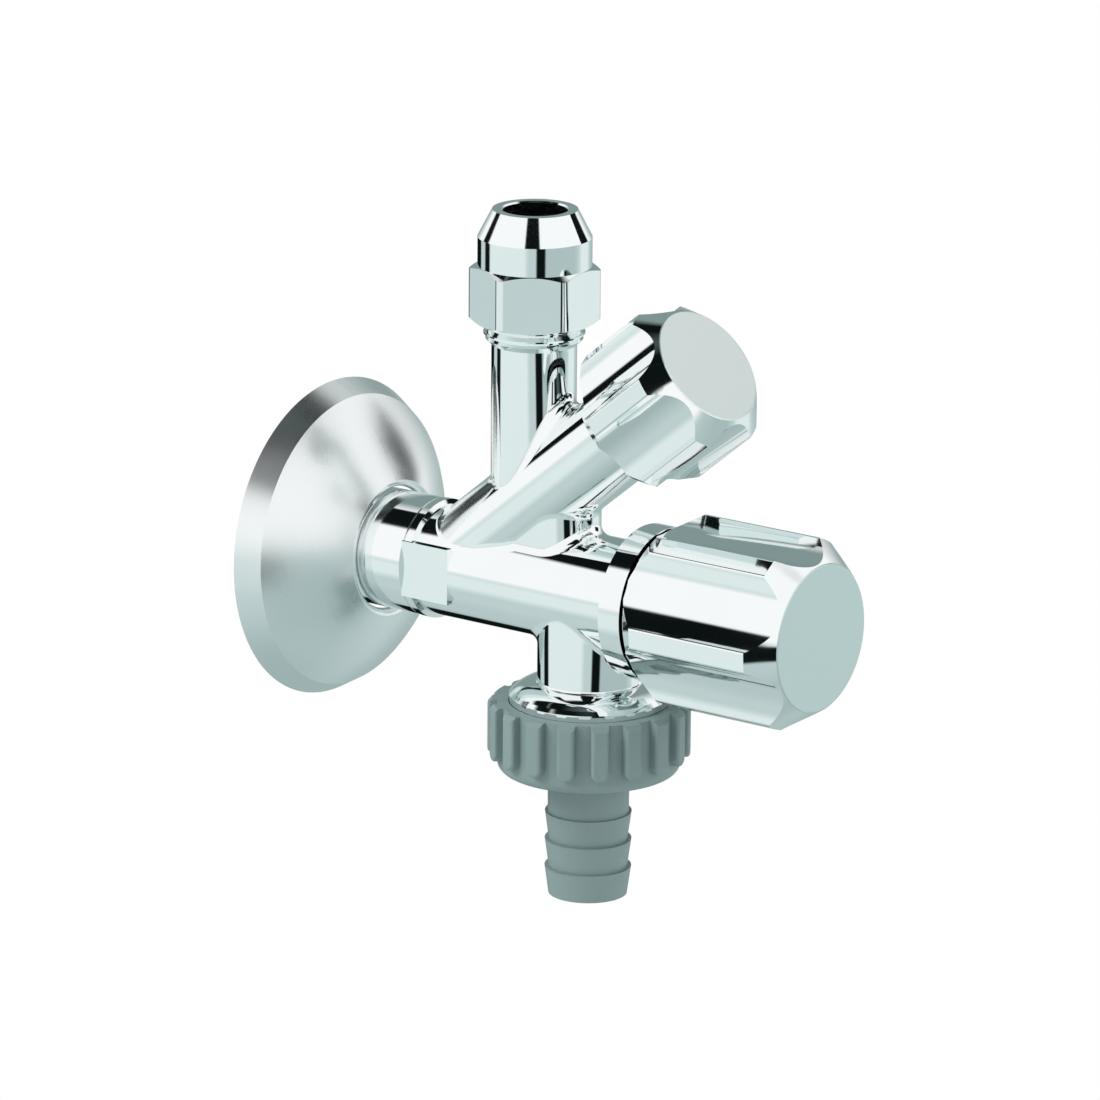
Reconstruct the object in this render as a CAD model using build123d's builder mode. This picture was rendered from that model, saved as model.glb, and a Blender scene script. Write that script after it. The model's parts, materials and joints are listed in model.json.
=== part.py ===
from build123d import *
import os
from math import cos, radians, sin, sqrt

# Combination angle valve, in millimetres.
# The origin is the centre of the rosette's back, on the wall and on the inlet axis.
# +X leaves the wall along the inlet and the main valve, +Z is up, and the part is symmetric about Y = 0.

# Clearances
running_gap = 0.08
thread_gap = 0.1
face_gap = 0.3

# Inlet, collar and main tube of the body
inlet_thread_diameter = 20.955
inlet_thread_pitch = 1.814
inlet_thread_turns = 6
inlet_thread_start = -9.5
inlet_thread_end = 4.0
thread_lead = 1.0
thread_depth_by_pitch = 0.64
thread_flank_by_pitch = 0.4
thread_cutter_rise = 0.2
neck_radius = 9.9
collar_start = 21.25
collar_length = 9.5
collar_radius = 10.0
collar_ring_length = 2.2
collar_edge = 0.4
wrench_size = 18.4
wrench_flat_height = 9.4
main_tube_radius = 9.25
main_mouth = 65.7
inlet_bore_radius = 5.0
inlet_bore_end = 38.5

# Inclined branch
branch_start = 25.8
branch_angle = 39.33
branch_radius = 7.8
branch_mouth = 46.15

# Valve seats, chambers and the screwed-in headworks, the same on both valves
headwork_reach = 22.0
seat_hole_radius = 3.25
seat_lip_radius = 4.6
seat_lip_height = 0.8
chamber_radius = 6.2
bonnet_thread_radius = 6.6
bonnet_thread_length = 6.0
bonnet_seal_thickness = 1.0
bonnet_seal_radius = 7.8
bonnet_hexagon = 15.0
bonnet_hexagon_height = 2.8
bonnet_nose_radius = 5.2
bonnet_nose_length = 5.2
valve_lift = 4.0
washer_radius = 5.0
washer_thickness = 2.4
washer_screw_head_radius = 2.3
washer_screw_head_height = 1.4
washer_screw_radius = 1.5
washer_screw_length = 6.0
plunger_flange_thickness = 2.0
plunger_hexagon = 7.6
plunger_engagement = 4.0
spindle_thread_radius = 2.5
spindle_thread_length = 13.0
spindle_shoulder_radius = 3.7
spindle_shoulder_thickness = 1.4
spindle_radius = 3.0
spindle_square = 4.0
spindle_square_length = 6.5
spindle_collar_length = 0.4
plunger_stop_gap = 1.1
plunger_bore_gap = 0.5
seal_section_radius = 0.45
clip_radius = 4.6
clip_thickness = 0.7
clip_groove_depth = 0.5

# Main knob and its sleeve
sleeve_radius = 12.8
sleeve_skirt_length = 1.5
sleeve_ring_length = 2.7
sleeve_neck_radius = 10.0
sleeve_wall = 1.1
main_knob_length = 30.5
main_knob_ridge_radius = 15.7
main_knob_flute_radius = 12.4
main_knob_land = 3.5
main_knob_face_radius = 12.1
main_knob_front_slope = 4.1
main_knob_rear_radius = 12.6
main_knob_rear_slope = 3.8
main_knob_cavity_radius = 10.8
main_knob_face_wall = 2.6
main_knob_phase = 5.0

# Upper knob
upper_knob_length = 18.8
upper_knob_ridge_radius = 13.4
upper_knob_flute_radius = 10.6
upper_knob_land = 3.0
upper_knob_face_radius = 9.95
upper_knob_front_slope = 3.4
upper_knob_rear_radius = 11.6
upper_knob_rear_slope = 2.2
upper_knob_cavity_radius = 9.1
upper_knob_face_wall = 2.2
upper_knob_phase = -4.0

# Shared by both knobs
knob_sides = 6
knob_edge_round = 0.5
knob_face_round = 0.4
knob_hub_radius = 4.4
knob_rib_wall = 1.4
knob_rib_gap = 2.0

# Rosette
rosette_radius = 26.8
rosette_crease_radius = 24.6
rosette_rim_depth = 3.9
rosette_depth = 12.9
rosette_crown = 0.5
rosette_sheet = 0.8
rosette_lip_round = 1.2
rosette_slip = 0.4

# Upper outlet with its compression nut
outlet_x = 41.4
outlet_radius = 7.0
outlet_thread_diameter = 16.66
outlet_thread_pitch = 1.337
outlet_thread_turns = 8
outlet_thread_runout = 1.3
outlet_thread_length = 12.4
outlet_top = 52.0
outlet_bore_radius = 4.2
outlet_bore_floor = 19.5
tube_socket_radius = 5.1
tube_socket_depth = 10.0
ring_radius = 7.0
ring_length = 5.0
ring_cone = 1.2
nut_hexagon = 19.0
nut_hexagon_round = 1.6
nut_engagement = 8.9
nut_hexagon_rise = 0.75
nut_chamfer = 0.9
nut_shoulder_radius = 9.35
nut_shoulder_rise = 5.5
nut_rise = 10.05
nut_rim_radius = 7.0
nut_hole_radius = 5.3
nut_hole_edge = 0.25
nut_phase = 34.2

# Web of the casting between the main tube and the inclined branch, with a round end at web_x
web_x = 47.4
web_length = 8.0
web_radius = 6.4

# Fillets where the branches of the casting meet
junction_round = 2.0

# Hose outlet
hose_x = 53.2
hose_pipe_radius = 8.6
hose_bore_radius = 5.0
hose_pipe_bottom = -15.0
hose_flange_round = 0.5
hose_flange_slope = 1.6
hose_flange_crown = 0.3
hose_thread_diameter = 26.44
hose_thread_lead = 0.6
hose_thread_bottom = -24.5
gasket_thickness = 2.0
gasket_inset = 1.0
gasket_hole_radius = 5.6

# Check valve cartridge
cartridge_radius = 8.1
cartridge_length = 8.0
cartridge_plate = 1.5
cartridge_hole_radius = 3.6
cartridge_chamber_radius = 6.4
cartridge_window_radius = 1.6
cartridge_window_circle = 4.3
cartridge_windows = 5
cartridge_seal_section = 0.7
poppet_radius = 4.9
poppet_thickness = 1.4
poppet_stem_radius = 1.2
spring_wire_radius = 0.2
spring_radius = 2.2
spring_turns = 3.0

# Union nut
union_wall = 1.8
union_rib_height = 1.55
union_ribs = 18
union_rib_phase = 13.0
union_rib_width = 2.9
union_rib_round = 0.6
union_rib_bevel = 0.7
union_top = -18.8
union_bottom = -30.7
union_band = 2.6
union_edge_round = 1.8

# Hose tail
tail_flange_inset = 0.6
tail_flange_thickness = 2.0
tail_neck_radius = 6.7
tail_bore_radius = 4.5
tail_barb_radius = 7.15
tail_barb_root = 6.5
tail_first_barb = -37.7
tail_barb_pitch = 4.7
tail_barbs = 3
tail_bottom = -51.6
tail_end_round = 1.0

# Values worked out from the sizes above
inlet_thread_radius = inlet_thread_diameter / 2
outlet_thread_radius = outlet_thread_diameter / 2
hose_thread_radius = hose_thread_diameter / 2
branch_direction = Vector(cos(radians(branch_angle)), 0, sin(radians(branch_angle)))
branch_origin = Vector(branch_start, 0, 0)
main_seat = Vector(main_mouth - headwork_reach, 0, 0)
main_direction = Vector(1, 0, 0)
upper_seat = branch_origin + branch_direction * (branch_mouth - headwork_reach)
sideways = (0, -1, 0)
up = Vector(0, 0, 1)
outlet_foot = (outlet_x - branch_start) * branch_direction.Z / branch_direction.X
web_middle = web_x - web_length / 2
web_top = (web_middle - branch_start) * branch_direction.Z / branch_direction.X
outlet_base = Vector(outlet_x, 0, 0)
hose_base = Vector(hose_x, 0, 0)

outlet_thread_start = outlet_top - outlet_thread_length
tube_socket_floor = outlet_top - tube_socket_depth
nut_bottom = outlet_top - nut_engagement
nut_hexagon_top = outlet_top + nut_hexagon_rise
nut_shoulder_top = outlet_top + nut_shoulder_rise
nut_top = outlet_top + nut_rise
gasket_radius = hose_thread_radius - gasket_inset
tail_flange_radius = hose_thread_radius - tail_flange_inset

# Stations along a headwork, measured from the lip of its seat
bonnet_front = headwork_reach - bonnet_thread_length
hexagon_start = headwork_reach + bonnet_seal_thickness
hexagon_end = hexagon_start + bonnet_hexagon_height
nose_end = hexagon_end + bonnet_nose_length
plunger_end = bonnet_front + plunger_engagement
shoulder_start = plunger_end + valve_lift + plunger_stop_gap
shoulder_end = shoulder_start + spindle_shoulder_thickness
spindle_tip = shoulder_start - spindle_thread_length
plunger_bore_floor = spindle_tip - valve_lift - plunger_bore_gap
clip_start = nose_end + running_gap
clip_groove_end = clip_start + clip_thickness + running_gap
square_start = clip_groove_end + spindle_collar_length
square_end = square_start + spindle_square_length
spindle_seal_place = (shoulder_end + nose_end) / 2

# Heights of the hose outlet
cartridge_top = hose_thread_bottom + cartridge_length
poppet_top = cartridge_top - cartridge_plate
poppet_bottom = poppet_top - poppet_thickness
cartridge_floor = hose_thread_bottom + cartridge_plate
tail_top = hose_thread_bottom - gasket_thickness
tail_flange_bottom = tail_top - tail_flange_thickness

os.makedirs("parts", exist_ok=True)


def across(origin, direction, distance):
    """Plane across an axis, a distance along it, with its X pointing to the -Y side."""
    return Plane(origin=origin + direction * distance, x_dir=sideways, z_dir=direction)


def along(origin, direction):
    """Plane that holds an axis in the plane of symmetry: its X runs along the axis, its Y is the radius."""
    return Plane(origin=origin, x_dir=direction, z_dir=(0, -1, 0))


def cut_thread(origin, direction, start, pitch, turns, crest_radius):
    """Cuts the ring grooves of a thread into the part being built."""
    depth = pitch * thread_depth_by_pitch
    half_width = pitch * thread_flank_by_pitch * (1 + thread_cutter_rise / depth)
    with BuildSketch(along(origin, direction)) as grooves:
        for turn in range(turns):
            with Locations((start + pitch * (turn + 0.5), crest_radius)):
                Polygon(
                    (-half_width, thread_cutter_rise),
                    (half_width, thread_cutter_rise),
                    (0, -depth),
                    align=None,
                )
    revolve(grooves.sketch, axis=Axis(origin, direction), mode=Mode.SUBTRACT)


def save(piece, name):
    piece.part.label = name
    export_step(piece.part, f"parts/{name}.step")


# Valve body: one casting with its waterways, seats and threads
with BuildPart() as valve_body:
    with BuildSketch(Plane.XZ):
        with BuildLine():
            Polyline(
                (inlet_thread_start, 0),
                (inlet_thread_start, inlet_thread_radius - thread_lead),
                (inlet_thread_start + thread_lead, inlet_thread_radius),
                (inlet_thread_end, inlet_thread_radius),
                (inlet_thread_end, neck_radius),
                (collar_start, neck_radius),
                (collar_start + collar_edge, collar_radius),
                (collar_start + collar_ring_length - collar_edge, collar_radius),
                (collar_start + collar_ring_length, main_tube_radius),
                (main_mouth, main_tube_radius),
                (main_mouth, 0),
                close=True,
            )
        make_face()
    revolve(axis=Axis.X)
    # Inclined branch, the web under it and the pipes of both outlets, blended as cast
    with BuildSketch(across(branch_origin, branch_direction, 0)):
        Circle(branch_radius)
    extrude(amount=branch_mouth)
    with BuildSketch(Plane(outlet_base)):
        with Locations((web_middle - outlet_x, 0)):
            SlotCenterToCenter(web_length, 2 * web_radius)
    extrude(amount=web_top)
    with BuildSketch(Plane(outlet_base + up * outlet_foot)):
        Circle(outlet_radius)
    extrude(amount=outlet_thread_start - outlet_foot)
    with BuildSketch(Plane(hose_base)):
        Circle(hose_pipe_radius)
    extrude(amount=hose_pipe_bottom)
    fillet(edges().filter_by(GeomType.BSPLINE), radius=junction_round)
    # Two flats for a wrench, as pads on both sides of the tube that also cut the collar's ring
    with BuildSketch(across(Vector(collar_start, 0, 0), main_direction, 0)):
        Rectangle(wrench_size, wrench_flat_height)
    extrude(amount=collar_length)
    for side in (1, -1):
        with BuildSketch(Plane.XZ.offset(side * wrench_size / 2)):
            with Locations((collar_start + collar_length / 2, 0)):
                Rectangle(collar_length, 2 * collar_radius)
        extrude(amount=side * collar_radius, mode=Mode.SUBTRACT)
    # Threads of the upper outlet and of the inlet
    with BuildSketch(along(outlet_base, up)):
        with BuildLine():
            Polyline(
                (outlet_thread_start, 0),
                (outlet_thread_start, outlet_radius),
                (outlet_thread_start + outlet_thread_runout, outlet_thread_radius),
                (outlet_top - outlet_thread_runout, outlet_thread_radius),
                (outlet_top, outlet_radius),
                (outlet_top, 0),
                close=True,
            )
        make_face()
    revolve(axis=Axis(outlet_base, up))
    cut_thread(
        outlet_base, up, outlet_thread_start + outlet_thread_runout / 2,
        outlet_thread_pitch, outlet_thread_turns, outlet_thread_radius,
    )
    cut_thread(
        Vector(0, 0, 0), main_direction, inlet_thread_start + thread_lead,
        inlet_thread_pitch, inlet_thread_turns, inlet_thread_radius,
    )
    # Flange and thread of the hose outlet
    with BuildSketch(along(hose_base, main_direction)):
        with BuildLine():
            flange_bottom = hose_pipe_bottom - hose_flange_round
            flange_root = hose_pipe_radius + hose_flange_round
            thread_top = flange_bottom - hose_flange_slope - hose_thread_lead
            Line((0, hose_pipe_bottom), (hose_pipe_radius, hose_pipe_bottom))
            RadiusArc(
                (hose_pipe_radius, hose_pipe_bottom),
                (flange_root, flange_bottom),
                -hose_flange_round,
            )
            flange_edge = (hose_thread_radius - hose_thread_lead, flange_bottom - hose_flange_slope)
            ThreePointArc(
                (flange_root, flange_bottom),
                (
                    (flange_root + flange_edge[0]) / 2,
                    (flange_bottom + flange_edge[1]) / 2 + hose_flange_crown,
                ),
                flange_edge,
            )
            Polyline(
                flange_edge,
                (hose_thread_radius, thread_top),
                (hose_thread_radius, hose_thread_bottom + hose_thread_lead),
                (hose_thread_radius - hose_thread_lead, hose_thread_bottom),
                (0, hose_thread_bottom),
                (0, hose_pipe_bottom),
            )
        make_face()
    revolve(axis=Axis(hose_base, up))
    # Inlet bore
    with BuildSketch(across(Vector(inlet_thread_start, 0, 0), main_direction, 0)):
        Circle(inlet_bore_radius)
    extrude(amount=inlet_bore_end - inlet_thread_start, mode=Mode.SUBTRACT)
    # Seat hole, chamber and mouth of each valve, leaving a raised lip around the seat hole
    for seat, direction, passage in (
        (main_seat, main_direction, main_seat.X - inlet_bore_end),
        (upper_seat, branch_direction, branch_mouth - headwork_reach),
    ):
        with BuildSketch(across(seat, direction, -passage)):
            Circle(seat_hole_radius)
        extrude(amount=passage, mode=Mode.SUBTRACT)
        with BuildSketch(across(seat, direction, 0)):
            Circle(chamber_radius)
        extrude(amount=headwork_reach, mode=Mode.SUBTRACT)
        with BuildSketch(across(seat, direction, 0)):
            Circle(chamber_radius)
            Circle(seat_lip_radius, mode=Mode.SUBTRACT)
        extrude(amount=-seat_lip_height, mode=Mode.SUBTRACT)
        with BuildSketch(across(seat, direction, bonnet_front - running_gap)):
            Circle(bonnet_thread_radius)
        extrude(amount=bonnet_thread_length + running_gap, mode=Mode.SUBTRACT)
    # Upper outlet bore and tube socket
    with BuildSketch(Plane(outlet_base + up * outlet_bore_floor)):
        Circle(outlet_bore_radius)
    extrude(amount=outlet_top - outlet_bore_floor, mode=Mode.SUBTRACT)
    with BuildSketch(Plane(outlet_base + up * tube_socket_floor)):
        Circle(tube_socket_radius)
    extrude(amount=outlet_top - tube_socket_floor, mode=Mode.SUBTRACT)
    # Hose outlet bore and the pocket for the check valve
    with BuildSketch(Plane(hose_base)):
        Circle(hose_bore_radius)
    extrude(amount=cartridge_top, mode=Mode.SUBTRACT)
    with BuildSketch(Plane(hose_base + up * hose_thread_bottom)):
        Circle(cartridge_radius + running_gap)
    extrude(amount=cartridge_length, mode=Mode.SUBTRACT)
save(valve_body, "valve_body")


# Rosette: a pressed sheet with a tapered rim, a slightly crowned cone and a rolled-in lip at its hole
rosette_hole_radius = neck_radius + rosette_slip
with BuildPart() as rosette:
    with BuildSketch(Plane.XZ):
        with BuildLine():
            lip_top = (rosette_depth, rosette_hole_radius + rosette_lip_round)
            crease = (rosette_rim_depth, rosette_crease_radius)
            middle = (
                (lip_top[0] + crease[0]) / 2 + rosette_crown,
                (lip_top[1] + crease[1]) / 2 + rosette_crown,
            )
            inner_lip = (rosette_depth - rosette_sheet, rosette_hole_radius + rosette_lip_round)
            inner_crease = (rosette_rim_depth - rosette_sheet, rosette_crease_radius - rosette_sheet)
            inner_middle = (middle[0] - rosette_sheet, middle[1] - rosette_sheet)
            Line((0, rosette_radius), crease)
            ThreePointArc(crease, middle, lip_top)
            RadiusArc(lip_top, (rosette_depth - rosette_lip_round, rosette_hole_radius), rosette_lip_round)
            Line(
                (rosette_depth - rosette_lip_round, rosette_hole_radius),
                (rosette_depth - rosette_lip_round, rosette_hole_radius + rosette_sheet),
            )
            RadiusArc(
                inner_lip,
                (rosette_depth - rosette_lip_round, rosette_hole_radius + rosette_sheet),
                rosette_lip_round - rosette_sheet,
            )
            ThreePointArc(inner_crease, inner_middle, inner_lip)
            Line(inner_crease, (0, rosette_radius - rosette_sheet))
            Line((0, rosette_radius - rosette_sheet), (0, rosette_radius))
        make_face()
    revolve(axis=Axis.X)
save(rosette, "rosette")


# Headworks: the same eight pieces on the main axis and on the inclined branch
def make_headwork(name, seat, direction):
    axis = Axis(seat, direction)

    with BuildPart() as bonnet:
        with BuildSketch(across(seat, direction, bonnet_front)):
            Circle(bonnet_thread_radius - running_gap)
        extrude(amount=bonnet_thread_length + bonnet_seal_thickness)
        with BuildSketch(across(seat, direction, hexagon_start)):
            RegularPolygon(bonnet_hexagon / 2, 6, major_radius=False)
        extrude(amount=bonnet_hexagon_height)
        with BuildSketch(across(seat, direction, hexagon_end)):
            Circle(bonnet_nose_radius)
        extrude(amount=bonnet_nose_length)
        with BuildSketch(across(seat, direction, bonnet_front)):
            RegularPolygon(plunger_hexagon / 2 + running_gap, 6, major_radius=False)
        extrude(amount=shoulder_end - bonnet_front, mode=Mode.SUBTRACT)
        with BuildSketch(across(seat, direction, shoulder_end)):
            Circle(spindle_radius + running_gap)
        extrude(amount=nose_end - shoulder_end, mode=Mode.SUBTRACT)
    save(bonnet, f"{name}_bonnet")

    with BuildPart() as bonnet_seal:
        with BuildSketch(across(seat, direction, headwork_reach)):
            Circle(bonnet_seal_radius)
            Circle(bonnet_thread_radius, mode=Mode.SUBTRACT)
        extrude(amount=bonnet_seal_thickness)
    save(bonnet_seal, f"{name}_bonnet_seal")

    with BuildPart() as spindle:
        groove_half = seal_section_radius + running_gap
        groove_radius = spindle_radius - 2 * seal_section_radius
        clip_groove_radius = spindle_radius - clip_groove_depth
        with BuildSketch(along(seat, direction)):
            with BuildLine():
                Polyline(
                    (spindle_tip, 0),
                    (spindle_tip, spindle_thread_radius),
                    (shoulder_start, spindle_thread_radius),
                    (shoulder_start, spindle_shoulder_radius),
                    (shoulder_end, spindle_shoulder_radius),
                    (shoulder_end, spindle_radius),
                    (spindle_seal_place - groove_half, spindle_radius),
                    (spindle_seal_place - groove_half, groove_radius),
                    (spindle_seal_place + groove_half, groove_radius),
                    (spindle_seal_place + groove_half, spindle_radius),
                    (nose_end, spindle_radius),
                    (nose_end, clip_groove_radius),
                    (clip_groove_end, clip_groove_radius),
                    (clip_groove_end, spindle_radius),
                    (square_start, spindle_radius),
                    (square_start, 0),
                    close=True,
                )
            make_face()
        revolve(axis=axis)
        with BuildSketch(across(seat, direction, square_start)):
            Rectangle(spindle_square, spindle_square)
        extrude(amount=spindle_square_length)
    save(spindle, f"{name}_spindle")

    with BuildPart() as spindle_seal:
        with BuildSketch(along(seat, direction)):
            with Locations((spindle_seal_place, spindle_radius - seal_section_radius)):
                Circle(seal_section_radius)
        revolve(axis=axis)
    save(spindle_seal, f"{name}_spindle_seal")

    with BuildPart() as clip:
        with BuildSketch(across(seat, direction, clip_start)):
            Circle(clip_radius)
            Circle(clip_groove_radius + running_gap, mode=Mode.SUBTRACT)
            with Locations((clip_radius, 0)):
                Rectangle(2 * clip_radius, spindle_radius, mode=Mode.SUBTRACT)
        extrude(amount=clip_thickness)
    save(clip, f"{name}_clip")

    with BuildPart() as plunger:
        with BuildSketch(across(seat, direction, washer_thickness)):
            Circle(washer_radius)
        extrude(amount=plunger_flange_thickness)
        with BuildSketch(across(seat, direction, washer_thickness + plunger_flange_thickness)):
            RegularPolygon(plunger_hexagon / 2, 6, major_radius=False)
        extrude(amount=plunger_end - washer_thickness - plunger_flange_thickness)
        with BuildSketch(across(seat, direction, plunger_bore_floor)):
            Circle(spindle_thread_radius + thread_gap)
        extrude(amount=plunger_end - plunger_bore_floor, mode=Mode.SUBTRACT)
        with BuildSketch(across(seat, direction, washer_thickness)):
            Circle(washer_screw_radius)
        extrude(amount=washer_screw_length - washer_thickness, mode=Mode.SUBTRACT)
    save(plunger, f"{name}_plunger")

    with BuildPart() as seat_washer:
        with BuildSketch(across(seat, direction, 0)):
            Circle(washer_radius)
            Circle(washer_screw_radius, mode=Mode.SUBTRACT)
        extrude(amount=washer_thickness)
    save(seat_washer, f"{name}_seat_washer")

    with BuildPart() as washer_screw:
        with BuildSketch(across(seat, direction, -washer_screw_head_height)):
            Circle(washer_screw_head_radius)
        extrude(amount=washer_screw_head_height)
        with BuildSketch(across(seat, direction, 0)):
            Circle(washer_screw_radius)
        extrude(amount=washer_screw_length)
    save(washer_screw, f"{name}_washer_screw")


make_headwork("main", main_seat, main_direction)
make_headwork("upper", upper_seat, branch_direction)


# Main sleeve: a smooth ring over the end of the tube, with a neck that reaches into the knob and a lip that
# holds it on the bonnet's hexagon
with BuildPart() as main_sleeve:
    sleeve_inner_radius = bonnet_hexagon / sqrt(3) + running_gap
    with BuildSketch(across(main_seat, main_direction, headwork_reach)):
        Circle(sleeve_radius)
    extrude(amount=sleeve_ring_length)
    with BuildSketch(across(main_seat, main_direction, headwork_reach)):
        Circle(sleeve_radius)
        Circle(main_tube_radius + running_gap, mode=Mode.SUBTRACT)
    extrude(amount=-sleeve_skirt_length)
    with BuildSketch(across(main_seat, main_direction, headwork_reach)):
        Circle(sleeve_neck_radius)
    extrude(amount=hexagon_end + sleeve_wall - headwork_reach)
    with BuildSketch(across(main_seat, main_direction, headwork_reach)):
        Circle(sleeve_inner_radius)
    extrude(amount=hexagon_end - headwork_reach, mode=Mode.SUBTRACT)
    with BuildSketch(across(main_seat, main_direction, hexagon_end)):
        Circle(bonnet_nose_radius + running_gap)
    extrude(amount=sleeve_wall, mode=Mode.SUBTRACT)
save(main_sleeve, "main_sleeve")


# Knobs: six concave flutes between narrow ridges, cut back by a cone at each end, hollow behind
def make_knob(
    name, seat, direction, start, length, ridge_radius, flute_radius, land, phase,
    face_radius, front_slope, rear_radius, rear_slope, cavity_radius, face_wall,
):
    axis = Axis(seat, direction)
    end = start + length
    cavity_end = end - face_wall
    hub_start = square_start + running_gap
    with BuildPart() as knob:
        with BuildSketch(across(seat, direction, start)):
            with BuildLine():
                pitch = 360 / knob_sides
                ridges = [
                    [
                        Vector(ridge_radius, side * land / 2).rotate(Axis.Z, phase + pitch * count)
                        for side in (-1, 1)
                    ]
                    for count in range(knob_sides)
                ]
                for count in range(knob_sides):
                    here = ridges[count]
                    after = ridges[(count + 1) % knob_sides]
                    valley = Vector(flute_radius, 0).rotate(Axis.Z, phase + pitch * (count + 0.5))
                    Line(here[0], here[1])
                    ThreePointArc(here[1], valley, after[0])
            make_face()
            fillet(vertices(), radius=knob_edge_round)
        extrude(amount=length)
        with BuildSketch(along(seat, direction)):
            with BuildLine():
                Polyline(
                    (start, 0),
                    (start, rear_radius),
                    (start + rear_slope, ridge_radius),
                    (start + rear_slope, ridge_radius + land),
                    (end - front_slope, ridge_radius + land),
                    (end - front_slope, ridge_radius),
                    (end, face_radius),
                    (end, 0),
                    close=True,
                )
            make_face()
        revolve(axis=axis, mode=Mode.INTERSECT)
        fillet(edges().filter_by(GeomType.CIRCLE).sort_by(axis)[-1], radius=knob_face_round)
        with BuildSketch(across(seat, direction, start)):
            Circle(cavity_radius)
        extrude(amount=cavity_end - start, mode=Mode.SUBTRACT)
        with BuildSketch(across(seat, direction, hub_start)):
            Circle(knob_hub_radius)
        extrude(amount=cavity_end - hub_start)
        with BuildSketch(across(seat, direction, hub_start + knob_rib_gap)):
            for count in range(knob_sides // 2):
                Rectangle(2 * cavity_radius, knob_rib_wall, rotation=phase + pitch * count)
            Circle(cavity_radius, mode=Mode.INTERSECT)
        extrude(amount=cavity_end - hub_start - knob_rib_gap)
        with BuildSketch(across(seat, direction, hub_start)):
            Rectangle(spindle_square, spindle_square)
        extrude(amount=square_end - hub_start, mode=Mode.SUBTRACT)
    save(knob, name)


make_knob(
    "main_knob", main_seat, main_direction, headwork_reach + sleeve_ring_length + face_gap, main_knob_length,
    main_knob_ridge_radius, main_knob_flute_radius, main_knob_land, main_knob_phase,
    main_knob_face_radius, main_knob_front_slope, main_knob_rear_radius, main_knob_rear_slope,
    main_knob_cavity_radius, main_knob_face_wall,
)
make_knob(
    "upper_knob", upper_seat, branch_direction, headwork_reach + face_gap, upper_knob_length,
    upper_knob_ridge_radius, upper_knob_flute_radius, upper_knob_land, upper_knob_phase,
    upper_knob_face_radius, upper_knob_front_slope, upper_knob_rear_radius, upper_knob_rear_slope,
    upper_knob_cavity_radius, upper_knob_face_wall,
)


# Compression nut: a hexagon with rounded corners, a round shoulder and a cone down to the tube's hole
ring_bottom = outlet_top + running_gap
ring_top = ring_bottom + ring_length
with BuildPart() as compression_nut:
    corner_radius = nut_hexagon / sqrt(3)
    with BuildSketch(Plane(outlet_base + up * nut_bottom)):
        RegularPolygon(nut_hexagon / 2, 6, major_radius=False, rotation=nut_phase)
        fillet(vertices(), radius=nut_hexagon_round)
    extrude(amount=nut_top - nut_bottom)
    with BuildSketch(along(outlet_base, main_direction)):
        with BuildLine():
            Polyline(
                (0, nut_bottom),
                (corner_radius - 2 * nut_chamfer, nut_bottom),
                (corner_radius, nut_bottom + nut_chamfer),
                (corner_radius, nut_hexagon_top - nut_chamfer),
                (nut_shoulder_radius, nut_hexagon_top),
                (nut_shoulder_radius, nut_shoulder_top),
                (nut_rim_radius, nut_top),
                (0, nut_top),
                close=True,
            )
        make_face()
    revolve(axis=Axis(outlet_base, up), mode=Mode.INTERSECT)
    with BuildSketch(along(outlet_base, main_direction)):
        with BuildLine():
            Polyline(
                (0, nut_bottom),
                (outlet_thread_radius + thread_gap, nut_bottom),
                (outlet_thread_radius + thread_gap, ring_top - ring_cone),
                (ring_radius + thread_gap, ring_top - ring_cone),
                (ring_radius - ring_cone + thread_gap, ring_top + thread_gap),
                (nut_hole_radius, ring_top + thread_gap),
                (nut_hole_radius, nut_top - nut_hole_edge),
                (nut_hole_radius + nut_hole_edge, nut_top),
                (0, nut_top),
                close=True,
            )
        make_face()
    revolve(axis=Axis(outlet_base, up), mode=Mode.SUBTRACT)
save(compression_nut, "compression_nut")


# Compression ring: grips the tube between the outlet's end and the nut
with BuildPart() as compression_ring:
    with BuildSketch(along(outlet_base, main_direction)):
        with BuildLine():
            Polyline(
                (tube_socket_radius, ring_bottom),
                (ring_radius, ring_bottom),
                (ring_radius, ring_top - ring_cone),
                (ring_radius - ring_cone, ring_top),
                (tube_socket_radius, ring_top),
                close=True,
            )
        make_face()
    revolve(axis=Axis(outlet_base, up))
save(compression_ring, "compression_ring")


# Check valve cartridge in the hose outlet
with BuildPart() as check_housing:
    seal_height = cartridge_top - cartridge_length / 2
    seal_half = cartridge_seal_section + running_gap
    with BuildSketch(along(hose_base, main_direction)):
        with BuildLine():
            Polyline(
                (cartridge_hole_radius, cartridge_top),
                (cartridge_radius, cartridge_top),
                (cartridge_radius, seal_height + seal_half),
                (cartridge_radius - 2 * cartridge_seal_section, seal_height + seal_half),
                (cartridge_radius - 2 * cartridge_seal_section, seal_height - seal_half),
                (cartridge_radius, seal_height - seal_half),
                (cartridge_radius, hose_thread_bottom),
                (poppet_stem_radius + running_gap, hose_thread_bottom),
                (poppet_stem_radius + running_gap, cartridge_floor),
                (cartridge_chamber_radius, cartridge_floor),
                (cartridge_chamber_radius, poppet_top),
                (cartridge_hole_radius, poppet_top),
                close=True,
            )
        make_face()
    revolve(axis=Axis(hose_base, up))
    with BuildSketch(Plane(hose_base + up * hose_thread_bottom)):
        with PolarLocations(cartridge_window_circle, cartridge_windows):
            Circle(cartridge_window_radius)
    extrude(amount=cartridge_plate, mode=Mode.SUBTRACT)
save(check_housing, "check_housing")

with BuildPart() as check_seal:
    with BuildSketch(along(hose_base, main_direction)):
        with Locations((cartridge_radius - cartridge_seal_section, seal_height)):
            Circle(cartridge_seal_section)
    revolve(axis=Axis(hose_base, up))
save(check_seal, "check_seal")

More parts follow.
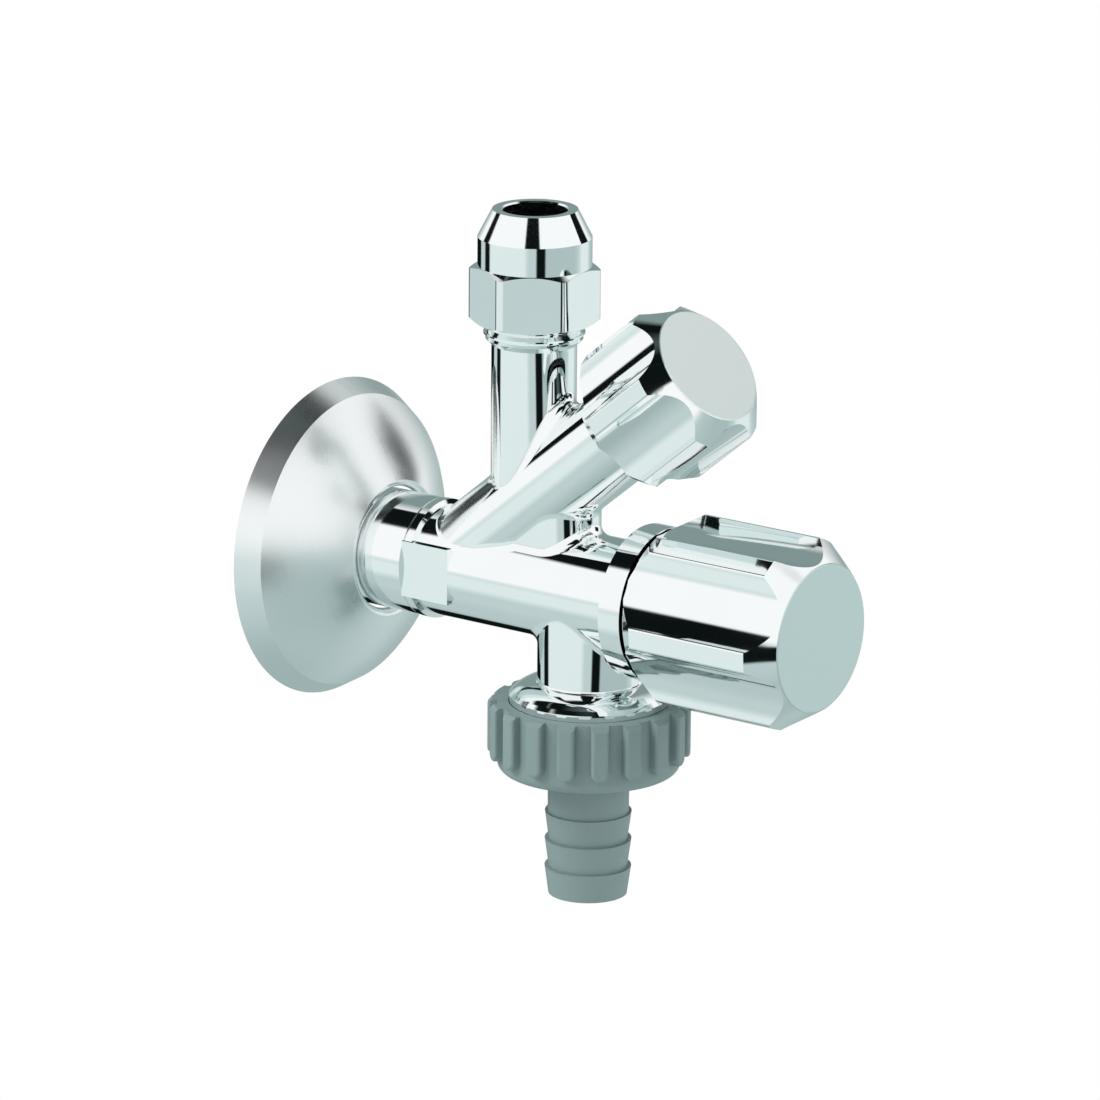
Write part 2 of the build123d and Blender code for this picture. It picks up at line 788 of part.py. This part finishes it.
with BuildPart() as check_poppet:
    with BuildSketch(Plane(hose_base + up * poppet_bottom)):
        Circle(poppet_radius)
    extrude(amount=poppet_thickness)
    with BuildSketch(Plane(hose_base + up * hose_thread_bottom)):
        Circle(poppet_stem_radius)
    extrude(amount=poppet_bottom - hose_thread_bottom)
save(check_poppet, "check_poppet")

with BuildPart() as check_spring:
    spring_bottom = cartridge_floor + spring_wire_radius + running_gap
    spring_top = poppet_bottom - spring_wire_radius - running_gap
    spring_height = spring_top - spring_bottom
    with BuildLine() as coil:
        Helix(
            pitch=spring_height / spring_turns,
            height=spring_height,
            radius=spring_radius,
            center=hose_base + up * spring_bottom,
        )
    with BuildSketch(Plane(coil.line @ 0, z_dir=coil.line % 0)):
        Circle(spring_wire_radius)
    sweep(path=coil.line)
save(check_spring, "check_spring")


# Flat gasket between the threaded outlet and the hose tail
with BuildPart() as hose_gasket:
    with BuildSketch(Plane(hose_base + up * tail_top)):
        Circle(gasket_radius)
        Circle(gasket_hole_radius, mode=Mode.SUBTRACT)
    extrude(amount=gasket_thickness)
save(hose_gasket, "hose_gasket")


# Hose tail: a flanged tube with barbs
with BuildPart() as hose_tail:
    outline = [(tail_bore_radius, tail_top), (tail_flange_radius, tail_top)]
    outline += [(tail_flange_radius, tail_flange_bottom), (tail_neck_radius, tail_flange_bottom)]
    outline += [(tail_neck_radius, tail_first_barb)]
    for count in range(tail_barbs):
        lip = tail_first_barb - tail_barb_pitch * count
        outline += [(tail_barb_radius, lip), (tail_barb_root, lip - tail_barb_pitch)]
    outline += [(tail_barb_root, tail_bottom + tail_end_round)]
    outline += [(tail_barb_root - tail_end_round, tail_bottom), (tail_bore_radius, tail_bottom)]
    with BuildSketch(along(hose_base, main_direction)):
        with BuildLine():
            Polyline(*outline, close=True)
        make_face()
    revolve(axis=Axis(hose_base, up))
save(hose_tail, "hose_tail")


# Union nut: a ribbed nut that turns on the hose tail's flange
with BuildPart() as union_nut:
    union_axis = Axis(hose_base, up)
    core_radius = hose_thread_radius + thread_gap + union_wall
    union_radius = core_radius + union_rib_height
    rib_root = core_radius - union_rib_height / 2
    floor_top = tail_flange_bottom - running_gap
    with BuildSketch(along(hose_base, main_direction)):
        with BuildLine():
            Polyline(
                (hose_thread_radius + thread_gap, union_top),
                (core_radius, union_top),
                (core_radius, union_bottom),
                (tail_barb_radius + face_gap, union_bottom),
                (tail_barb_radius + face_gap, floor_top),
                (hose_thread_radius + thread_gap, floor_top),
                close=True,
            )
        make_face()
    revolve(axis=union_axis)
    fillet(edges().group_by(Axis.Z)[0].sort_by(SortBy.LENGTH)[-1], radius=union_edge_round)
    # Ribs with a round lower end, on planes around the nut
    rib_length = 2 * (union_top - union_bottom - union_band)
    rib_planes = []
    for count in range(union_ribs):
        turn = radians(union_rib_phase + 360 / union_ribs * count)
        outward = Vector(cos(turn), sin(turn), 0)
        rib_planes.append(Plane(hose_base + up * union_top + outward * rib_root, x_dir=up, z_dir=outward))
    with BuildSketch(*rib_planes):
        SlotOverall(rib_length, union_rib_width)
        Rectangle(rib_length, union_rib_width, align=(Align.MAX, Align.CENTER), mode=Mode.INTERSECT)
    extrude(amount=union_radius - rib_root)
    rib_faces = faces(Select.LAST).filter_by(GeomType.PLANE).filter_by(Axis.Z, reverse=True)
    rib_edges = rib_faces.group_by(SortBy.AREA)[-1].edges()
    side_edges = rib_edges.filter_by(lambda edge: edge.center().Z < union_top - union_rib_bevel)
    fillet(side_edges, radius=union_rib_round)
    # Bevelled upper ends of the ribs
    with BuildSketch(along(hose_base, main_direction)):
        with Locations((union_radius, union_top)):
            Polygon(
                (-union_rib_bevel, 0),
                (union_rib_bevel, 0),
                (union_rib_bevel, -2 * union_rib_bevel),
                align=None,
            )
    revolve(axis=union_axis, mode=Mode.SUBTRACT)
save(union_nut, "union_nut")
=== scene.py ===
"""Looks of a chromed combination angle valve: polished brass, satin knob faces and grey moulded plastic."""
import json
import math

import bmesh
import bpy
from mathutils import Matrix, Vector


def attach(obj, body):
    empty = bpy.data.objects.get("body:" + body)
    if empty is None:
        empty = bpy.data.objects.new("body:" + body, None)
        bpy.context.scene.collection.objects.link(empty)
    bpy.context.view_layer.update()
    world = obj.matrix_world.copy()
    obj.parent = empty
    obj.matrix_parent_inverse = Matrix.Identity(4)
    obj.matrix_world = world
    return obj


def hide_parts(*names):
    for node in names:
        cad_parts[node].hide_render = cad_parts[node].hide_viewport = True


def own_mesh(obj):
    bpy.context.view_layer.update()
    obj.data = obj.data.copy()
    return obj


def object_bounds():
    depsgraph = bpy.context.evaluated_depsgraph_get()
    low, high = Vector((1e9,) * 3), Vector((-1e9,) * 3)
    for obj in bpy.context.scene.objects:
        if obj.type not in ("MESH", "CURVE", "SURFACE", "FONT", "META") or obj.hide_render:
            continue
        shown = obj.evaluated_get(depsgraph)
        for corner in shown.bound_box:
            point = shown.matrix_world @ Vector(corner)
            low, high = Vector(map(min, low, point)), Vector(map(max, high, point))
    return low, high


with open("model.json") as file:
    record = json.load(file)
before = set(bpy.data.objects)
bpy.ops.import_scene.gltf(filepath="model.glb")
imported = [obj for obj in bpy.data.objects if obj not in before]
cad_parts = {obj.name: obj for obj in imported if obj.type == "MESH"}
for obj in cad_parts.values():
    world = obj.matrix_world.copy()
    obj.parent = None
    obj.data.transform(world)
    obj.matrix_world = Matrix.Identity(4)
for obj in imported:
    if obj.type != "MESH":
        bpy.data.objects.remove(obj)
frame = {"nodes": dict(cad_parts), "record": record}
cad_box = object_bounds()
scene = bpy.context.scene
nodes = frame["nodes"]
MM = 0.001

# Camera, from the photograph: degrees, millimetres
CAMERA_AZIMUTH = 36.589
CAMERA_ELEVATION = 15.95
CAMERA_ROLL = 0.437
CAMERA_DISTANCE = 1249.9
CAMERA_LENS = 250.43
CAMERA_SENSOR = 36.0
AIM_ON_AXIS = 51.92
AIM_LEFT = 5.611
AIM_UP = 6.149

# Floor, millimetres
FLOOR_BELOW = 8.0
FLOOR_SIZE = 6000.0

# Fields of the surround: bearings from the camera, levels, softness of the edges, all in degrees, and colour
BLACK = (0.004, 0.006, 0.006)
FIELDS = [
    ((8.0, 100.0), (-64.0, -3.0), 14.0, (0.42, 0.52, 0.52)),
    ((-108.0, -12.0), (-34.0, -2.0), 9.0, (0.78, 0.86, 0.86)),
    ((98.0, 140.0), (-30.0, -2.0), 8.0, (0.78, 0.86, 0.86)),
    ((-142.0, -86.0), (43.0, 60.0), 3.0, BLACK),
    ((-128.0, -108.0), (5.0, 26.0), 3.0, BLACK),
    ((108.0, 134.0), (3.0, 29.0), 3.0, BLACK),
    ((2.0, 23.0), (-25.0, -6.0), 2.5, BLACK),
    ((-24.0, 13.0), (34.0, 62.0), 2.5, BLACK),
    ((-120.0, -101.0), (-25.0, -6.0), 2.5, BLACK),
    ((-171.0, -135.0), (-25.0, -6.0), 2.5, BLACK),
    ((-180.0, -152.0), (-64.0, -22.0), 4.0, BLACK),
]

# Distance under which the points of a copied CAD mesh are one point, millimetres
MERGE_DISTANCE = 0.001

# Satin finish of the knobs' end faces: reach under the top of the face in millimetres, grain and roughness
SATIN_DEPTH = 0.12
SATIN_GRAIN = 2600.0
SATIN_ROUGHNESS = 0.36
SATIN_SPREAD = 0.12

# Bare machined metal: scales of its patches and waves, and the waves' height in millimetres
METAL_PATCHES = 400.0
METAL_WAVES = 1500.0
METAL_WAVE_HEIGHT = 0.004

# Finishes
CHROME_LIGHT = (0.94, 0.97, 0.97, 1.0)
CHROME_DARK = (0.88, 0.92, 0.92, 1.0)
# The two knobs' end faces have one satin finish; the main face's colour is darker as painted shade and the
# upper face's lighter as painted light, for how light falls on each.
MAIN_SATIN_PAINTED_SHADE = (0.68, 0.79, 0.78, 1.0)
UPPER_SATIN_PAINTED_LIGHT = (0.84, 0.93, 0.92, 1.0)
GREY_DARK = (0.165, 0.235, 0.235)
GREY_LIGHT = (0.20, 0.275, 0.27)
FLOOR_COLOUR = (0.85, 0.86, 0.86, 1.0)
WHITE = (1.0, 1.0, 1.0, 1.0)

# Light of the surround on matt pieces
PLAIN_LIGHT = (0.55, 0.57, 0.57, 1.0)

# Softboxes, in millimetres: places to the right, towards the camera and up from a centre, sizes, and power
LAMP_CENTRE = (50.0, 0.0, 10.0)
SOFTBOXES = {
    "key_left": ((-520.0, 320.0, 420.0), (420.0, 420.0), 5.0),
    "fill_right": ((560.0, 260.0, 160.0), (380.0, 520.0), 1.6),
}


def joint_row(name):
    """The record's row of a joint."""
    return next(row for row in frame["record"]["behaviour"]["joints"] if row["name"] == name)


def feed(tree, socket, value):
    """Links a socket to another socket, or sets its value."""
    if isinstance(value, bpy.types.NodeSocket):
        tree.links.new(value, socket)
    else:
        socket.default_value = value


def add_node(tree, kind, **inputs):
    """Adds a shader node and sets or links its named inputs."""
    node = tree.nodes.new(kind)
    for name, value in inputs.items():
        feed(tree, node.inputs[name.replace("_", " ")], value)
    return node


def add_math(tree, operation, *values):
    """Adds a Math node with up to three values and returns its output."""
    node = tree.nodes.new("ShaderNodeMath")
    node.operation = operation
    for socket, value in zip(node.inputs, values):
        feed(tree, socket, value)
    return node.outputs[0]


def add_ramp(tree, factor, stops):
    """Adds a linear colour ramp with the given (place, colour) stops and returns its colour."""
    node = tree.nodes.new("ShaderNodeValToRGB")
    node.color_ramp.interpolation = "LINEAR"
    elements = node.color_ramp.elements
    while len(elements) < len(stops):
        elements.new(0.5)
    for element, (place, colour) in zip(elements, stops):
        element.position = place
        element.color = (*colour, 1.0)
    tree.links.new(factor, node.inputs["Fac"])
    return node.outputs["Color"]


def add_mix(tree, factor, first, second):
    """Mixes two colours and returns the result."""
    node = tree.nodes.new("ShaderNodeMix")
    node.data_type = "RGBA"
    for socket, value in ((node.inputs[0], factor), (node.inputs[6], first), (node.inputs[7], second)):
        feed(tree, socket, value)
    return node.outputs[2]


def new_group(name, inputs, outputs):
    """Starts a shader node group with named sockets and returns it with its input and output nodes."""
    group = bpy.data.node_groups.new(name, "ShaderNodeTree")
    for label, kind, value in inputs:
        socket = group.interface.new_socket(label, in_out="INPUT", socket_type=kind)
        socket.default_value = value
    for label, kind in outputs:
        group.interface.new_socket(label, in_out="OUTPUT", socket_type=kind)
    return group, group.nodes.new("NodeGroupInput"), group.nodes.new("NodeGroupOutput")


def use_group(tree, group, **inputs):
    """Places a node group and sets or links its inputs."""
    node = tree.nodes.new("ShaderNodeGroup")
    node.node_tree = group
    for name, value in inputs.items():
        feed(tree, node.inputs[name.replace("_", " ")], value)
    return node


# Shared effects

def make_polish_group():
    """Fine polishing haze: a roughness that wanders a little and a faint waviness of the plated surface."""
    group, given, result = new_group(
        "polish_haze",
        [
            ("Smoothest", "NodeSocketFloat", 0.03),
            ("Haziest", "NodeSocketFloat", 0.08),
            ("Patch Scale", "NodeSocketFloat", 90.0),
            ("Wave Scale", "NodeSocketFloat", 260.0),
        ],
        [("Roughness", "NodeSocketFloat"), ("Height", "NodeSocketFloat"), ("Patch", "NodeSocketFloat")],
    )
    place = group.nodes.new("ShaderNodeTexCoord").outputs["Object"]
    patch = add_node(group, "ShaderNodeTexNoise", Vector=place, Detail=3.0)
    group.links.new(given.outputs["Patch Scale"], patch.inputs["Scale"])
    span = group.nodes.new("ShaderNodeMapRange")
    group.links.new(patch.outputs["Fac"], span.inputs["Value"])
    span.inputs["From Min"].default_value = 0.3
    span.inputs["From Max"].default_value = 0.7
    group.links.new(given.outputs["Smoothest"], span.inputs["To Min"])
    group.links.new(given.outputs["Haziest"], span.inputs["To Max"])
    wave = add_node(group, "ShaderNodeTexNoise", Vector=place, Detail=1.0)
    group.links.new(given.outputs["Wave Scale"], wave.inputs["Scale"])
    group.links.new(span.outputs["Result"], result.inputs["Roughness"])
    group.links.new(wave.outputs["Fac"], result.inputs["Height"])
    group.links.new(patch.outputs["Fac"], result.inputs["Patch"])
    return group


def make_grain_group():
    """Moulded grain: fine pits for the bump and a slow drift of the tone."""
    group, given, result = new_group(
        "moulded_grain",
        [("Grain Scale", "NodeSocketFloat", 1800.0), ("Drift Scale", "NodeSocketFloat", 60.0)],
        [("Height", "NodeSocketFloat"), ("Drift", "NodeSocketFloat")],
    )
    place = group.nodes.new("ShaderNodeTexCoord").outputs["Object"]
    grain = add_node(group, "ShaderNodeTexNoise", Vector=place, Detail=4.0, Roughness=0.6)
    group.links.new(given.outputs["Grain Scale"], grain.inputs["Scale"])
    drift = add_node(group, "ShaderNodeTexNoise", Vector=place, Detail=2.0)
    group.links.new(given.outputs["Drift Scale"], drift.inputs["Scale"])
    group.links.new(grain.outputs["Fac"], result.inputs["Height"])
    group.links.new(drift.outputs["Fac"], result.inputs["Drift"])
    return group


polish_haze = make_polish_group()
moulded_grain = make_grain_group()


def new_material(name):
    """Starts a material and returns it with its tree and its Principled shader."""
    material = bpy.data.materials.new(name)
    material.use_nodes = True
    tree = material.node_tree
    return material, tree, tree.nodes["Principled BSDF"]


def add_bump(tree, height, strength, distance):
    """Adds a bump from a height and returns its normal."""
    bump = tree.nodes.new("ShaderNodeBump")
    bump.inputs["Strength"].default_value = strength
    bump.inputs["Distance"].default_value = distance
    tree.links.new(height, bump.inputs["Height"])
    return bump.outputs["Normal"]


def make_chrome(name, smoothest, haziest, wave_scale, wave_height, satin_mask=None, satin=None):
    """Polished chrome plating. A satin mask makes the places under it matt, as on the knobs' end faces, and
    gives them the satin colour, which holds each face's painted light and shade.
    """
    material, tree, shader = new_material(name)
    haze = use_group(tree, polish_haze, Smoothest=smoothest, Haziest=haziest, Wave_Scale=wave_scale)
    colour = add_mix(tree, haze.outputs["Patch"], CHROME_DARK, CHROME_LIGHT)
    roughness = haze.outputs["Roughness"]
    if satin_mask:
        mask = satin_mask(tree)
        place = tree.nodes.new("ShaderNodeTexCoord").outputs["Object"]
        blasted = add_node(tree, "ShaderNodeTexNoise", Vector=place, Scale=SATIN_GRAIN, Detail=3.0)
        matt = add_math(tree, "MULTIPLY_ADD", blasted.outputs["Fac"], SATIN_SPREAD, SATIN_ROUGHNESS)
        spread = tree.nodes.new("ShaderNodeMix")
        tree.links.new(mask, spread.inputs[0])
        tree.links.new(roughness, spread.inputs[2])
        tree.links.new(matt, spread.inputs[3])
        roughness = spread.outputs[0]
        colour = add_mix(tree, mask, colour, satin)
    tree.links.new(colour, shader.inputs["Base Color"])
    tree.links.new(roughness, shader.inputs["Roughness"])
    tree.links.new(add_bump(tree, haze.outputs["Height"], 1.0, wave_height), shader.inputs["Normal"])
    shader.inputs["Metallic"].default_value = 1.0
    return material


def face_mask(direction, reach):
    """Returns a function that marks the places further along a direction than the given reach in metres."""
    def build(tree):
        place = tree.nodes.new("ShaderNodeTexCoord").outputs["Object"]
        along = tree.nodes.new("ShaderNodeVectorMath")
        along.operation = "DOT_PRODUCT"
        tree.links.new(place, along.inputs[0])
        along.inputs[1].default_value = direction
        return add_math(tree, "GREATER_THAN", along.outputs["Value"], reach)
    return build


def make_plastic(name, dark, light, roughness, grain_scale, grain_height):
    """Matt moulded plastic with a fine grain and a slow drift of its tone."""
    material, tree, shader = new_material(name)
    grain = use_group(tree, moulded_grain, Grain_Scale=grain_scale)
    colour = add_mix(tree, grain.outputs["Drift"], (*dark, 1.0), (*light, 1.0))
    tree.links.new(colour, shader.inputs["Base Color"])
    tree.links.new(add_bump(tree, grain.outputs["Height"], 0.6, grain_height), shader.inputs["Normal"])
    shader.inputs["Roughness"].default_value = roughness
    return material


def make_metal(name, dark, light, smoothest, haziest):
    """Bare machined metal, duller than the plating."""
    material, tree, shader = new_material(name)
    haze = use_group(
        tree, polish_haze,
        Smoothest=smoothest, Haziest=haziest, Patch_Scale=METAL_PATCHES, Wave_Scale=METAL_WAVES,
    )
    colour = add_mix(tree, haze.outputs["Patch"], (*dark, 1.0), (*light, 1.0))
    tree.links.new(colour, shader.inputs["Base Color"])
    tree.links.new(haze.outputs["Roughness"], shader.inputs["Roughness"])
    bumpy = add_bump(tree, haze.outputs["Height"], 1.0, METAL_WAVE_HEIGHT * MM)
    tree.links.new(bumpy, shader.inputs["Normal"])
    shader.inputs["Metallic"].default_value = 1.0
    return material


def reach_along(node, direction):
    """How far a CAD node reaches along a direction, in metres."""
    return max(vertex.co.dot(direction) for vertex in nodes[node].data.vertices)


main_direction = Vector(joint_row("main_knob_turn")["axis"])
branch_direction = Vector(joint_row("upper_knob_turn")["axis"])
main_face = reach_along("main_knob", main_direction) - SATIN_DEPTH * MM
upper_face = reach_along("upper_knob", branch_direction) - SATIN_DEPTH * MM

body_chrome = make_chrome("body_chrome", 0.03, 0.07, 180.0, 0.006 * MM)
sheet_chrome = make_chrome("sheet_chrome", 0.25, 0.31, 120.0, 0.004 * MM)
nut_chrome = make_chrome("nut_chrome", 0.04, 0.09, 260.0, 0.004 * MM)
main_knob_chrome = make_chrome(
    "main_knob_chrome", 0.03, 0.07, 220.0, 0.003 * MM, face_mask(main_direction, main_face), MAIN_SATIN_PAINTED_SHADE)
upper_knob_chrome = make_chrome(
    "upper_knob_chrome", 0.03, 0.07, 220.0, 0.003 * MM, face_mask(branch_direction, upper_face), UPPER_SATIN_PAINTED_LIGHT)
grey_plastic = make_plastic("grey_plastic", GREY_DARK, GREY_LIGHT, 0.5, 1800.0, 0.02 * MM)
valve_plastic = make_plastic("valve_plastic", (0.66, 0.66, 0.62), (0.74, 0.74, 0.70), 0.45, 1500.0, 0.01 * MM)
rubber = make_plastic("black_rubber", (0.015, 0.015, 0.016), (0.03, 0.03, 0.03), 0.62, 2400.0, 0.02 * MM)
fibre = make_plastic("pressed_fibre", (0.030, 0.034, 0.034), (0.050, 0.055, 0.055), 0.7, 900.0, 0.05 * MM)
bare_brass = make_metal("bare_brass", (0.62, 0.43, 0.17), (0.76, 0.56, 0.26), 0.2, 0.34)
steel = make_metal("drawn_steel", (0.42, 0.43, 0.44), (0.6, 0.6, 0.61), 0.18, 0.32)

finishes = {
    "valve_body": body_chrome,
    "main_sleeve": body_chrome,
    "rosette": sheet_chrome,
    "compression_nut": nut_chrome,
    "compression_ring": nut_chrome,
    "main_bonnet": nut_chrome,
    "upper_bonnet": nut_chrome,
    "main_knob": main_knob_chrome,
    "upper_knob": upper_knob_chrome,
    "union_nut": grey_plastic,
    "hose_tail": grey_plastic,
}
slot_finishes = {
    "brass": bare_brass,
    "steel": steel,
    "rubber": rubber,
    "fibre": fibre,
    "valve_plastic": valve_plastic,
}
for part in frame["record"]["subparts"]:
    name = part["node"]
    material = finishes.get(name) or slot_finishes[part["material_slot"]]
    mesh = nodes[name].data
    mesh.materials.clear()
    mesh.materials.append(material)


def make_soft_spring():
    """A merged copy of the check valve's spring, attached to the valve body in place of the CAD node."""
    shape = bmesh.new()
    shape.from_mesh(nodes["check_spring"].data)
    bmesh.ops.remove_doubles(shape, verts=shape.verts, dist=MERGE_DISTANCE * MM)
    mesh = bpy.data.meshes.new("soft_spring")
    shape.to_mesh(mesh)
    shape.free()
    mesh.materials.append(steel)
    spring = bpy.data.objects.new("soft_spring", mesh)
    scene.collection.objects.link(spring)
    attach(spring, "valve")
    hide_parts("check_spring")
    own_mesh(spring)


make_soft_spring()


# Stage: a pale floor and a white surround with the dark and grey fields that polished chrome shows

def make_floor():
    """A wide pale floor that the camera sees as white and the chrome looks through."""
    shape = bmesh.new()
    bmesh.ops.create_grid(shape, x_segments=1, y_segments=1, size=FLOOR_SIZE * MM / 2)
    bmesh.ops.translate(shape, verts=shape.verts, vec=(0.0, 0.0, cad_box[0][2] - FLOOR_BELOW * MM))
    mesh = bpy.data.meshes.new("floor")
    shape.to_mesh(mesh)
    shape.free()
    floor = bpy.data.objects.new("floor", mesh)
    scene.collection.objects.link(floor)
    material, tree, shader = new_material("floor_white")
    shader.inputs["Base Color"].default_value = FLOOR_COLOUR
    shader.inputs["Roughness"].default_value = 0.9
    path = tree.nodes.new("ShaderNodeLightPath")
    white = add_node(tree, "ShaderNodeEmission", Color=WHITE, Strength=1.0)
    clear = tree.nodes.new("ShaderNodeBsdfTransparent")
    seen = tree.nodes.new("ShaderNodeMixShader")
    tree.links.new(path.outputs["Is Camera Ray"], seen.inputs[0])
    tree.links.new(shader.outputs[0], seen.inputs[1])
    tree.links.new(white.outputs[0], seen.inputs[2])
    mirrored = tree.nodes.new("ShaderNodeMixShader")
    tree.links.new(path.outputs["Is Glossy Ray"], mirrored.inputs[0])
    tree.links.new(seen.outputs[0], mirrored.inputs[1])
    tree.links.new(clear.outputs[0], mirrored.inputs[2])
    tree.links.new(mirrored.outputs[0], tree.nodes["Material Output"].inputs["Surface"])
    mesh.materials.append(material)


def make_surround():
    """World light: white to the camera, plain and pale as light, and a studio of fields to the chrome."""
    world = bpy.data.worlds.new("studio")
    scene.world = world
    world.use_nodes = True
    tree = world.node_tree
    tree.nodes.clear()
    direction = tree.nodes.new("ShaderNodeTexCoord").outputs["Generated"]
    turned = tree.nodes.new("ShaderNodeVectorRotate")
    turned.rotation_type = "Z_AXIS"
    tree.links.new(direction, turned.inputs["Vector"])
    # After this turn, X points to the camera and Y to its right
    turned.inputs["Angle"].default_value = math.radians(90.0 - CAMERA_AZIMUTH)
    parts = add_node(tree, "ShaderNodeSeparateXYZ", Vector=turned.outputs["Vector"])
    azimuth = add_math(tree, "ARCTAN2", parts.outputs["Y"], parts.outputs["X"])
    around = add_math(tree, "MULTIPLY_ADD", azimuth, 0.5 / math.pi, 0.5)
    height = add_math(tree, "ARCSINE", parts.outputs["Z"])
    upward = add_math(tree, "MULTIPLY_ADD", height, 1.0 / math.pi, 0.5)

    shade = (0.10, 0.14, 0.14)
    teal = (0.23, 0.31, 0.305)
    grey = (0.38, 0.48, 0.475)
    pale = (0.55, 0.655, 0.65)
    white = (1.0, 1.0, 1.0)

    def level(degrees):
        return 0.5 + degrees / 180.0

    def bearing(degrees):
        return 0.5 + degrees / 360.0

    def patch(bearings, levels, softness):
        """Marks a soft-edged field between two bearings and two levels."""
        across = add_ramp(tree, around, [
            (bearing(bearings[0]), (0.0,) * 3), (bearing(bearings[0] + softness), (1.0,) * 3),
            (bearing(bearings[1] - softness), (1.0,) * 3), (bearing(bearings[1]), (0.0,) * 3)])
        along = add_ramp(tree, upward, [
            (level(levels[0]), (0.0,) * 3), (level(levels[0] + softness), (1.0,) * 3),
            (level(levels[1] - softness), (1.0,) * 3), (level(levels[1]), (0.0,) * 3)])
        return add_math(tree, "MULTIPLY", across, along)

    ahead = add_ramp(tree, upward, [
        (level(-75), grey), (level(-45), pale), (level(-8), pale), (level(-2), white), (level(54), white),
        (level(60), BLACK), (level(70), BLACK), (level(90), shade)])
    behind = add_ramp(tree, upward, [
        (level(-75), grey), (level(-30), grey), (level(-6), grey), (level(4), teal), (level(52), teal),
        (level(60), BLACK), (level(70), BLACK), (level(90), shade)])
    rear = add_ramp(tree, around, [
        (bearing(-160), (1.0,) * 3), (bearing(-138), (0.0,) * 3), (bearing(138), (0.0,) * 3),
        (bearing(160), (1.0,) * 3)])
    studio = add_mix(tree, rear, ahead, behind)
    for bearings, levels, softness, colour in FIELDS:
        studio = add_mix(tree, patch(bearings, levels, softness), studio, (*colour, 1.0))

    path = tree.nodes.new("ShaderNodeLightPath")
    lit = add_mix(tree, path.outputs["Is Diffuse Ray"], studio, PLAIN_LIGHT)
    seen = add_mix(tree, path.outputs["Is Camera Ray"], lit, WHITE)
    background = add_node(tree, "ShaderNodeBackground", Color=seen, Strength=1.0)
    output = tree.nodes.new("ShaderNodeOutputWorld")
    tree.links.new(background.outputs[0], output.inputs["Surface"])


def add_softbox(name, place, target, size, power):
    """A soft area lamp, in millimetres, that the chrome doesn't mirror."""
    lamp = bpy.data.lights.new(name, "AREA")
    lamp.shape = "RECTANGLE"
    lamp.size = size[0] * MM
    lamp.size_y = size[1] * MM
    lamp.energy = power
    holder = bpy.data.objects.new(name, lamp)
    holder.location = Vector(place) * MM
    holder.rotation_euler = (Vector(target) - Vector(place)).to_track_quat("-Z", "Y").to_euler()
    holder.visible_glossy = False
    scene.collection.objects.link(holder)


def camera_axes():
    """Unit vectors from the object to the camera, to the picture's right and up, before the roll."""
    azimuth = math.radians(CAMERA_AZIMUTH)
    elevation = math.radians(CAMERA_ELEVATION)
    back = Vector((
        math.sin(azimuth) * math.cos(elevation),
        -math.cos(azimuth) * math.cos(elevation),
        math.sin(elevation),
    ))
    right = (-back).cross(Vector((0.0, 0.0, 1.0))).normalized()
    return back, right, right.cross(-back)


def make_camera():
    """The camera at the photograph's viewing angle."""
    back, right, up = camera_axes()
    target = Vector((AIM_ON_AXIS, 0.0, 0.0))
    place = target + back * CAMERA_DISTANCE
    aim = target - right * AIM_LEFT + up * AIM_UP
    view = (aim - place).normalized()
    level_right = view.cross(Vector((0.0, 0.0, 1.0))).normalized()
    level_up = level_right.cross(view)
    roll = math.radians(CAMERA_ROLL)
    rolled_right = level_right * math.cos(roll) + level_up * math.sin(roll)
    rolled_up = level_up * math.cos(roll) - level_right * math.sin(roll)
    lens = bpy.data.cameras.new("photo_camera")
    lens.lens = CAMERA_LENS
    lens.sensor_width = CAMERA_SENSOR
    lens.sensor_height = CAMERA_SENSOR
    lens.sensor_fit = "HORIZONTAL"
    camera = bpy.data.objects.new("photo_camera", lens)
    turn = Matrix((rolled_right, rolled_up, -view)).transposed().to_4x4()
    camera.matrix_world = Matrix.Translation(place * MM) @ turn
    scene.collection.objects.link(camera)
    scene.camera = camera


make_floor()
make_surround()
back, right, up = camera_axes()
centre = Vector(LAMP_CENTRE)
for name, ((to_right, to_camera, upward), size, power) in SOFTBOXES.items():
    add_softbox(name, centre + right * to_right + back * to_camera + up * upward, centre, size, power)
make_camera()
scene.view_settings.view_transform = "Standard"
